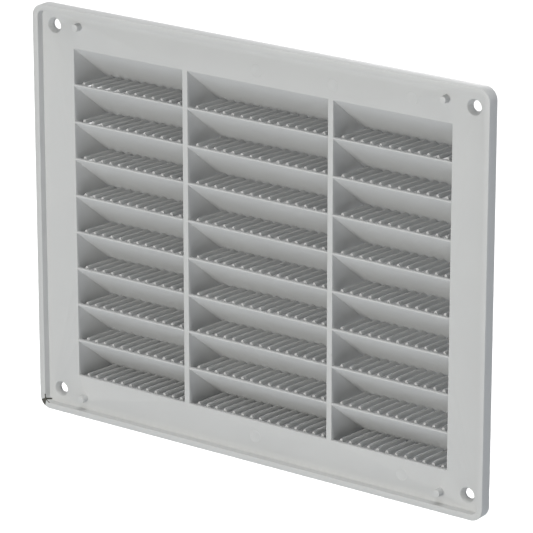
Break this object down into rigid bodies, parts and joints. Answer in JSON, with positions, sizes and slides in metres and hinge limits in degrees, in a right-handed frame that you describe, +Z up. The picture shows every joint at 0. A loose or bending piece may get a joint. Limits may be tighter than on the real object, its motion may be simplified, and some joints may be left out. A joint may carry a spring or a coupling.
{
  "type": "louvred vent",
  "caption": "Rectangular wall vent moulded in one piece, with sloping rain louvres, a built-in screen of thin fins, a rimmed flange and corner screw holes.",
  "frame": {"origin": "centre of the flange's front face, where the screw heads bear; the back rim that sits on the wall is 7.1 mm behind it", "axes": "+X across the vent, to the right as seen from behind; +Y out of the wall towards the open air; +Z up"},
  "size_m": [0.25, 0.0326, 0.2],
  "materials": {
    "grey_plastic": "matte, light grey moulded plastic"
  },
  "bodies": {
    "root": {"louvre_vent": "grey_plastic"}
  },
  "joints": []
}
